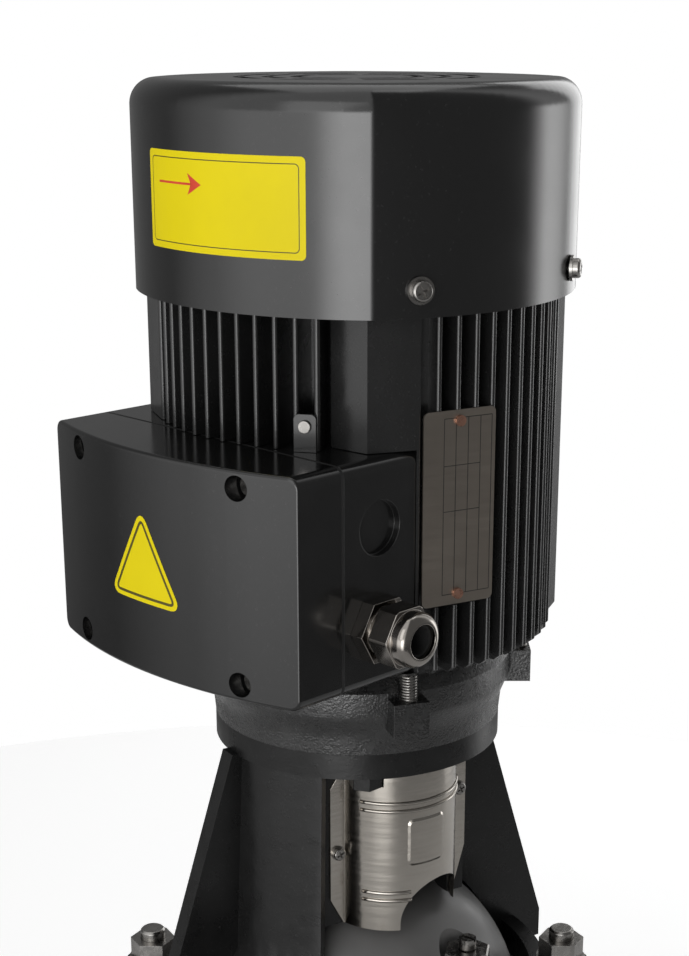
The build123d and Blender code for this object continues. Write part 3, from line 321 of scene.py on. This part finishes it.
def addSheet(bm, outline, corner, rise=0, material=0):
    bmesh.ops.translate(bm, verts=outline, vec=(0, 0, rise))
    face = outline[0].link_faces[0]
    face.material_index = material
    bmesh.ops.bevel(bm, geom=outline, offset=corner, segments=6, profile=0.5, affect="VERTICES", material=-1)
    return [face for face in bm.faces if abs(face.calc_center_median().z - rise) < flatness
            and face.material_index == material]


def addLine(bm, outline, corner, rise, material, width):
    centre = addSheet(bm, outline, corner, rise, material)
    bmesh.ops.inset_region(bm, faces=centre, thickness=width, use_even_offset=True, use_boundary=True)
    bmesh.ops.delete(bm, geom=centre, context="FACES")


def rectangle(bm, width, height):
    return bmesh.ops.create_grid(bm, x_segments=1, y_segments=1, size=0.5,
                                 matrix=Matrix.Diagonal((width, height, 1, 1)))["verts"]


def triangleOf(bm, reach):
    return bmesh.ops.create_circle(bm, cap_ends=True, segments=3, radius=reach)["verts"]


def wrapRound(bm, s, surface, step=2 * mm):
    reach = max(abs(vert.co.x) for vert in bm.verts)
    for index in range(-int(reach / step), int(reach / step) + 1):
        everything = bm.verts[:] + bm.edges[:] + bm.faces[:]
        bmesh.ops.bisect_plane(bm, geom=everything, plane_co=(index * step, 0, 0), plane_no=(1, 0, 0),
                               dist=flatness)
    for vert in bm.verts:
        angle = radians(s["turn"]) + vert.co.x / s["radius"]
        outward = Vector((cos(angle), sin(angle), 0))
        start = Vector((*s["axis"], s["height"] + vert.co.y)) + outward * (s["radius"] + startAway)
        hit = surface.ray_cast(start, -outward)[0]
        vert.co = hit + outward * (s["lift"] + vert.co.z)


label = dict(turn=-173.5, axis=(0, 0), radius=96 * mm, height=highest("fan_cover").z - 46.2 * mm,
             lift=0.10 * mm,
             size=(88.5 * mm, 39 * mm), corner=2 * mm, margin=2.6 * mm, line=0.4 * mm, rise=0.03 * mm,
             arrow=dict(left=-35.5 * mm, right=-6 * mm, height=7.0 * mm, shaft=0.9 * mm,
                        head=(8.5 * mm, 8.5 * mm), notch=2.2 * mm, rise=0.05 * mm))


def addArrow(bm, s):
    long, tall = s["head"]
    shaftEnd = s["right"] - long / 2
    middle = (s["left"] + shaftEnd) / 2
    place = Matrix.Translation((middle, s["height"], s["rise"]))
    shaft = bmesh.ops.create_grid(bm, x_segments=1, y_segments=1, size=0.5,
                                  matrix=place @ Matrix.Diagonal((shaftEnd - s["left"], s["shaft"], 1, 1)))
    place = Matrix.Translation((s["right"] - long, s["height"], s["rise"]))
    head = bmesh.ops.create_circle(bm, cap_ends=True, segments=4, radius=1,
                                   matrix=place @ Matrix.Diagonal((long, tall / 2, 1, 1)))
    rear = min(head["verts"], key=lambda vert: vert.co.x)
    bmesh.ops.translate(bm, verts=[rear], vec=(long + s["notch"], 0, 0))
    for vert in shaft["verts"] + head["verts"]:
        for face in vert.link_faces:
            face.material_index = 2


def makeLabel(s):
    bm = bmesh.new()
    width, height = s["size"]
    addSheet(bm, rectangle(bm, width, height), s["corner"])
    inner = rectangle(bm, width - 2 * s["margin"], height - 2 * s["margin"])
    addLine(bm, inner, s["corner"], s["rise"], 1, s["line"])
    addArrow(bm, s["arrow"])
    wrapRound(bm, s, surfaceOf("fan_cover"))
    piece = keepPiece(bm, "coverLabel", palette["stickerYellow"], "pump")
    piece.data.materials.append(palette["stickerInk"])
    piece.data.materials.append(palette["stickerRed"])


lidBow = 217 * mm
triangle = dict(turn=180, axis=(lowest("terminal_box_cover").x + lidBow, 0), radius=lidBow,
                height=lowest("terminal_box_cover").z + 44.7 * mm, lift=0.10 * mm,
                reach=26.8 * mm, corner=6.5 * mm, shift=-2 * mm, margin=3.6 * mm, line=1.2 * mm,
                lineCorner=3.8 * mm, rise=0.03 * mm)


def makeTriangle(s):
    bm = bmesh.new()
    addSheet(bm, triangleOf(bm, s["reach"]), s["corner"])
    addLine(bm, triangleOf(bm, s["reach"] - s["margin"]), s["lineCorner"], s["rise"], 1, s["line"])
    bmesh.ops.translate(bm, verts=bm.verts, vec=(s["shift"], 0, 0))
    wrapRound(bm, s, surfaceOf("terminal_box_cover"))
    piece = keepPiece(bm, "lidSticker", palette["stickerYellow"], "pump")
    piece.data.materials.append(palette["stickerInk"])


# beads and the raised panel pressed into the two guards

guardFoot = lowest("coupling_guard_front").z
guard = dict(turn=-103.0, offset=28.66 * mm, outside=30.44 * mm, beadRadius=0.9 * mm, beadApart=1.9 * mm,
             beadSides=10, beadStep=5,
             beads=(  # height, then the degrees where a pair of beads starts and ends
                 (guardFoot + 61 * mm, -58, 62),
                 (guardFoot + 17 * mm, -56, -15)),
             panel=dict(shift=0.6 * mm, size=(20 * mm, 23 * mm), height=guardFoot + 43.5 * mm,
                        corner=3 * mm, slope=1.2 * mm, rise=0.55 * mm, step=1 * mm))


def addBead(bm, s, height, fromDegrees, toDegrees):
    def tipPlace(degrees):
        return Matrix.Rotation(radians(degrees), 4, "Z") @ Matrix.Translation((s["outside"], 0, height))

    ring = bmesh.ops.create_circle(bm, cap_ends=True, segments=s["beadSides"], radius=s["beadRadius"],
                                   matrix=tipPlace(fromDegrees) @ Matrix.Rotation(pi / 2, 4, "X"))
    faces = list({face for vert in ring["verts"] for face in vert.link_faces})
    edges = list({edge for vert in ring["verts"] for edge in vert.link_edges})
    span = toDegrees - fromDegrees
    bmesh.ops.spin(bm, geom=ring["verts"] + edges + faces, cent=(0, 0, 0), axis=(0, 0, 1),
                   angle=radians(span), steps=int(span / s["beadStep"]))
    for end in (fromDegrees, toDegrees):
        bmesh.ops.create_uvsphere(bm, u_segments=s["beadSides"], v_segments=6, radius=s["beadRadius"],
                                  matrix=tipPlace(end))


def pressGuard(node, turn, s):
    bm = bmesh.new()
    place = Matrix.Rotation(radians(turn), 4, "Z") @ Matrix.Translation((s["offset"], 0, 0))
    for height, fromDegrees, toDegrees in s["beads"]:
        for side in (-1, 1):
            addBead(bm, s, height + side * s["beadApart"], fromDegrees, toDegrees)
    bmesh.ops.transform(bm, matrix=place, verts=bm.verts)
    bmesh.ops.recalc_face_normals(bm, faces=bm.faces)
    for face in bm.faces:
        face.smooth = True
    keepPiece(bm, node + "Beads", palette["stainless"], "pump")

    bm = bmesh.new()
    panel = s["panel"]
    axis = place.to_translation()
    centre = addSheet(bm, rectangle(bm, *panel["size"]), panel["corner"])
    bmesh.ops.inset_region(bm, faces=centre, thickness=panel["slope"], depth=panel["rise"],
                           use_even_offset=True, use_boundary=True)
    bmesh.ops.translate(bm, verts=bm.verts, vec=(panel["shift"], 0, 0))
    wrap = dict(turn=turn, axis=(axis.x, axis.y), radius=s["outside"], height=panel["height"], lift=0)
    wrapRound(bm, wrap, surfaceOf(node), panel["step"])
    keepPiece(bm, node + "Panel", palette["stainless"], "pump")


# ruled lines on the nameplate, measured from its left and top edges

plate = dict(turn=-106.5, face=87.2 * mm, low=lowest("nameplate").z, size=(34 * mm, 82 * mm), line=0.35 * mm,
             uprights=(9.6 * mm, 15.2 * mm, 21.0 * mm, 26.8 * mm, 32.2 * mm), top=3.3 * mm,
             bottom=77.5 * mm, crossings=(22.9 * mm, 42.0 * mm), lift=0.04 * mm)


def makePlateLines(s):
    width, height = s["size"]
    seat = Matrix.Translation((s["face"] + s["lift"], 0, s["low"]))
    place = Matrix.Rotation(radians(s["turn"]), 4, "Z") @ seat
    bm = bmesh.new()

    def rule(left, right, top, bottom):
        middle = Matrix.Translation((0, (left + right - width) / 2, height - (top + bottom) / 2))
        size = Matrix.Diagonal((bottom - top, right - left, 1, 1))
        bmesh.ops.create_grid(bm, x_segments=1, y_segments=1, size=0.5,
                              matrix=place @ middle @ Matrix.Rotation(pi / 2, 4, "Y") @ size)

    half = s["line"] / 2
    for x in s["uprights"]:
        rule(x - half, x + half, s["top"], s["bottom"])
    for y in (s["top"], s["bottom"]):
        rule(s["uprights"][0], s["uprights"][-1], y - half, y + half)
    for y in s["crossings"]:
        rule(s["uprights"][0], s["uprights"][3], y - half, y + half)
    keepPiece(bm, "nameplateLines", palette["plateInk"], "pump")


# screws with cross recesses in place of the plain CAD ones, and threads on the tie bolts

def findIslands(node):
    bm = bmesh.new()
    bm.from_mesh(frame["nodes"][node].data)
    bmesh.ops.remove_doubles(bm, verts=bm.verts, dist=mergeDistance)
    islands, seen = [], set()
    for first in bm.verts:
        if first in seen:
            continue
        seen.add(first)
        island = [first]
        for vert in island:
            for edge in vert.link_edges:
                other = edge.other_vert(vert)
                if other not in seen:
                    seen.add(other)
                    island.append(other)
        islands.append([vert.co.copy() for vert in island])
    bm.free()
    return islands


def carve(piece, cutter):
    modifier = piece.modifiers.new("carved", "BOOLEAN")
    modifier.object = cutter
    modifier.use_self = True
    bpy.context.view_layer.update()
    evaluated = piece.evaluated_get(bpy.context.evaluated_depsgraph_get())
    carved = bpy.data.meshes.new_from_object(evaluated)
    bpy.data.objects.remove(cutter)
    bpy.data.objects.remove(piece)
    return carved


def looseObject(bm, name):
    mesh = bpy.data.meshes.new(name)
    bm.to_mesh(mesh)
    bm.free()
    loose = bpy.data.objects.new(name, mesh)
    bpy.context.scene.collection.objects.link(loose)
    return loose


coverScrew = dict(node="fan_cover_screws", washer=(5.5 * mm, 1.2 * mm), head=(4.2 * mm, 3.2 * mm),
                  crown=1.3 * mm, recess=(5.0 * mm, 1.1 * mm, 1.6 * mm), shank=(2.5 * mm, 9 * mm),
                  reach=4.4 * mm, axisTurn=None)  # each screw points straight out from the shaft
guardScrew = dict(node="guard_screws", washer=(3.4 * mm, 0.5 * mm), head=(3.0 * mm, 1.9 * mm),
                  crown=0.8 * mm, recess=(3.8 * mm, 0.8 * mm, 1.1 * mm), shank=(2.0 * mm, 6 * mm),
                  reach=2.4 * mm, axisTurn=guard["turn"])
recessTurn = radians(24)
headSharpAngle = radians(28)
sinkIn = 0.2 * mm


def addDisc(bm, radius, low, high, segments=32):
    return bmesh.ops.create_cone(bm, cap_ends=True, segments=segments, radius1=radius, radius2=radius,
                                 depth=high - low, matrix=Matrix.Translation((0, 0, (low + high) / 2)))


def makeHead(s):
    bm = bmesh.new()
    radius, tall = s["head"]
    top = s["washer"][1] + tall
    addDisc(bm, radius, 0, top)
    rim = [edge for edge in bm.edges if all(abs(vert.co.z - top) < flatness for vert in edge.verts)]
    bmesh.ops.bevel(bm, geom=rim, offset=s["crown"], segments=4, profile=0.5, affect="EDGES", material=-1)
    head = looseObject(bm, "screwHead")
    long, wide, deep = s["recess"]
    bm = bmesh.new()
    for size in ((long, wide, 2 * deep, 1), (wide, long, 2 * deep, 1)):
        bmesh.ops.create_cube(bm, size=1, matrix=Matrix.Translation((0, 0, top)) @ Matrix.Diagonal(size))
    bmesh.ops.rotate(bm, cent=(0, 0, 0), matrix=Matrix.Rotation(recessTurn, 3, "Z"), verts=bm.verts)
    return carve(head, looseObject(bm, "recessCutter"))


def placeScrews(s):
    head = makeHead(s)
    bm = bmesh.new()
    for island in findIslands(s["node"]):
        middle = sum(island, Vector()) / len(island)
        outward = Vector((middle.x, middle.y, 0)).normalized()
        if s["axisTurn"] is not None:
            axis = Vector((cos(radians(s["axisTurn"])), sin(radians(s["axisTurn"])), 0))
            outward = axis if axis.dot(outward) > 0 else -axis
        seat = max((point - middle).dot(outward) for point in island) - s["reach"]
        turn = outward.to_track_quat("Z", "Y").to_matrix().to_4x4()
        place = Matrix.Translation(middle + outward * seat) @ turn
        piece = bmesh.new()
        piece.from_mesh(head)
        addDisc(piece, s["washer"][0], 0, s["washer"][1])
        addDisc(piece, s["shank"][0], -s["shank"][1], sinkIn, 16)
        bmesh.ops.transform(piece, matrix=place, verts=piece.verts)
        joined = bpy.data.meshes.new("screw")
        piece.to_mesh(joined)
        piece.free()
        bm.from_mesh(joined)
        bpy.data.meshes.remove(joined)
    shadeByAngle(bm, headSharpAngle)
    screws = keepPiece(bm, s["node"] + "Crossed", palette["steel"], nodeBody[s["node"]])
    weightNormals(screws)
    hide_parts(s["node"])


tieBolt = dict(node="tie_bolts", edgeWidth=0.2 * mm, core=3.45 * mm, crest=4.0 * mm, pitch=1.25 * mm,
               sides=20, threaded=32 * mm, sink=0.6 * mm)


def addThread(bm, s, centre, low, high):
    bottom = Matrix.Translation((centre.x, centre.y, low))
    ring = bmesh.ops.create_circle(bm, cap_ends=True, segments=s["sides"], radius=s["core"],
                                   matrix=bottom)
    edges = list({edge for vert in ring["verts"] for edge in vert.link_edges})
    for index in range(round((high - low) / s["pitch"] * 2)):
        grown = bmesh.ops.extrude_edge_only(bm, edges=edges)["geom"]
        verts = [part for part in grown if isinstance(part, bmesh.types.BMVert)]
        edges = [part for part in grown if isinstance(part, bmesh.types.BMEdge)]
        edges = [edge for edge in edges if edge.verts[0] in verts and edge.verts[1] in verts]
        wide, narrow = (s["crest"], s["core"]) if index % 2 == 0 else (s["core"], s["crest"])
        bmesh.ops.translate(bm, verts=verts, vec=(0, 0, s["pitch"] / 2))
        bmesh.ops.scale(bm, verts=verts, vec=(wide / narrow, wide / narrow, 1),
                        space=Matrix.Translation((-centre.x, -centre.y, 0)))


def threadTieBolts(s):
    dressNode(s["node"], s["edgeWidth"])
    bm = bmesh.new()
    for island in findIslands(s["node"]):
        low = min(point.z for point in island)
        tip = [point for point in island if point.z < low + mergeDistance]
        centre = sum(tip, Vector()) / len(tip)
        addThread(bm, s, centre, low - s["sink"], low + s["threaded"])
    bmesh.ops.recalc_face_normals(bm, faces=bm.faces)
    keepPiece(bm, "tieBoltThreads", palette["steel"], nodeBody[s["node"]])


placeScrews(coverScrew)
placeScrews(guardScrew)
threadTieBolts(tieBolt)
makeLabel(label)
makeTriangle(triangle)
pressGuard("coupling_guard_front", guard["turn"], guard)
pressGuard("coupling_guard_back", guard["turn"] + 180, guard)
makePlateLines(plate)
print("stage: labels, plate lines and guard beads made")


# floor, camera and lamps

floorSettings = dict(radius=1.0, segments=96, color=0.85, rough=0.9, glow=0.5)


def makeFloor(s):
    bm = bmesh.new()
    bmesh.ops.create_circle(bm, cap_ends=True, segments=s["segments"], radius=s["radius"])
    mesh = bpy.data.meshes.new("floor")
    bm.to_mesh(mesh)
    bm.free()
    floor = bpy.data.objects.new("floor", mesh)
    bpy.context.scene.collection.objects.link(floor)
    material, tree, shader = startFinish("floorPaint")
    shader.inputs["Base Color"].default_value = grey(s["color"])
    shader.inputs["Roughness"].default_value = s["rough"]
    rays = tree.nodes.new("ShaderNodeLightPath")
    feed(tree, shader.inputs["Emission Color"], grey(1.0))
    glow = calculate(tree, "MULTIPLY", rays.outputs["Is Camera Ray"], s["glow"])
    feed(tree, shader.inputs["Emission Strength"], glow)
    mesh.materials.append(material)


camera = dict(distance=0.7902, turn=-135.0, height=0.7104, pitch=17.79, lens=67.82, sensor=36,
              shift=(-0.0132, 0.1276))


def placeCamera(c):
    data = bpy.data.cameras.new("camera")
    data.lens = c["lens"]
    data.sensor_width = c["sensor"]
    data.shift_x, data.shift_y = c["shift"]
    viewer = bpy.data.objects.new("camera", data)
    turn = radians(c["turn"])
    viewer.location = (c["distance"] * cos(turn), c["distance"] * sin(turn), c["height"])
    viewer.rotation_euler = (radians(90 - c["pitch"]), 0, turn + pi / 2)
    bpy.context.scene.collection.objects.link(viewer)
    bpy.context.scene.camera = viewer


lamps = {
    "keyLeft": dict(turn=-165, distance=1.6, height=1.3, size=(0.9, 1.2), power=4),
    "rimRight": dict(turn=15, distance=1.5, height=0.9, size=(0.7, 1.4), power=5),
    "top": dict(turn=45, distance=0.6, height=2.2, size=(1.4, 1.4), power=7),
}
lampTarget = Vector((0, 0, 0.5))


def placeLamps(settings):
    for name, s in settings.items():
        data = bpy.data.lights.new(name, "AREA")
        data.shape = "RECTANGLE"
        data.size, data.size_y = s["size"]
        data.energy = s["power"]
        lamp = bpy.data.objects.new(name, data)
        turn = radians(s["turn"])
        lamp.location = (s["distance"] * cos(turn), s["distance"] * sin(turn), s["height"])
        lamp.rotation_euler = (lampTarget - lamp.location).to_track_quat("-Z", "Y").to_euler()
        bpy.context.scene.collection.objects.link(lamp)


studio = {
    "level": 0.62,
    "lowKeep": 0.4, "lowEdge": (-0.42, -0.16),  # dimmer below eye level
    "glowTop": (0.03, 0.14),
    "glows": [  # turn, inner and outer half width in degrees, strength added
        dict(turn=-148, inner=4, outer=18, add=4.6),
        dict(turn=178, inner=14, outer=34, add=0.9),
        dict(turn=-13, inner=7, outer=20, add=2.6),
    ],
    "shades": [
        dict(turn=-77, inner=42, outer=56, keep=0.18),
        dict(turn=60, inner=55, outer=80, keep=0.2),
    ],
}


def makeWorld(s):
    world = bpy.data.worlds.new("studio")
    bpy.context.scene.world = world
    world.use_nodes = True
    tree = world.node_tree
    tree.nodes.clear()
    sky = tree.nodes.new("ShaderNodeTexCoord").outputs["Generated"]

    def vectorMath(operation, first, second=None):
        node = tree.nodes.new("ShaderNodeVectorMath")
        node.operation = operation
        tree.links.new(first, node.inputs[0])
        if second is not None:
            node.inputs[1].default_value = second
        return node

    level = vectorMath("MULTIPLY", sky, (1, 1, 0)).outputs["Vector"]
    level = vectorMath("NORMALIZE", level).outputs["Vector"]

    def towards(turn, inner, outer, low, high):
        direction = (cos(radians(turn)), sin(radians(turn)), 0)
        closeness = vectorMath("DOT_PRODUCT", level, direction).outputs["Value"]
        return spread(tree, closeness, low, high, cos(radians(outer)), cos(radians(inner)))

    rays = tree.nodes.new("ShaderNodeLightPath").outputs
    # mirrors start from the white backdrop, but the glows and shades below change what they see
    total = spread(tree, rays["Is Glossy Ray"], s["level"], 1.0, 0, 1)
    height = tree.nodes.new("ShaderNodeSeparateXYZ")
    tree.links.new(sky, height.inputs[0])
    lifted = spread(tree, height.outputs["Z"], s["lowKeep"], 1, *s["lowEdge"])
    underTop = spread(tree, height.outputs["Z"], 1, 0, *s["glowTop"])  # flat tops don't mirror the glows
    for glow in s["glows"]:
        added = towards(glow["turn"], glow["inner"], glow["outer"], 0, glow["add"])
        total = calculate(tree, "ADD", total, calculate(tree, "MULTIPLY", added, underTop))
    total = calculate(tree, "MULTIPLY", total, lifted)
    for shade in s["shades"]:
        kept = towards(shade["turn"], shade["inner"], shade["outer"], 1, shade["keep"])
        total = calculate(tree, "MULTIPLY", total, kept)
    seen = calculate(tree, "MAXIMUM", rays["Is Camera Ray"], rays["Is Transmission Ray"])
    toWhite = tree.nodes.new("ShaderNodeMix")
    feed(tree, toWhite.inputs[0], seen)
    feed(tree, toWhite.inputs[2], total)
    toWhite.inputs[3].default_value = 1.0
    background = tree.nodes.new("ShaderNodeBackground")
    background.inputs["Color"].default_value = grey(1.0)
    feed(tree, background.inputs["Strength"], toWhite.outputs[0])
    output = tree.nodes.new("ShaderNodeOutputWorld")
    tree.links.new(background.outputs[0], output.inputs[0])


makeFloor(floorSettings)
placeCamera(camera)
placeLamps(lamps)
makeWorld(studio)
bpy.context.scene.view_settings.view_transform = "Standard"
print("stage: floor, camera and lamps placed")
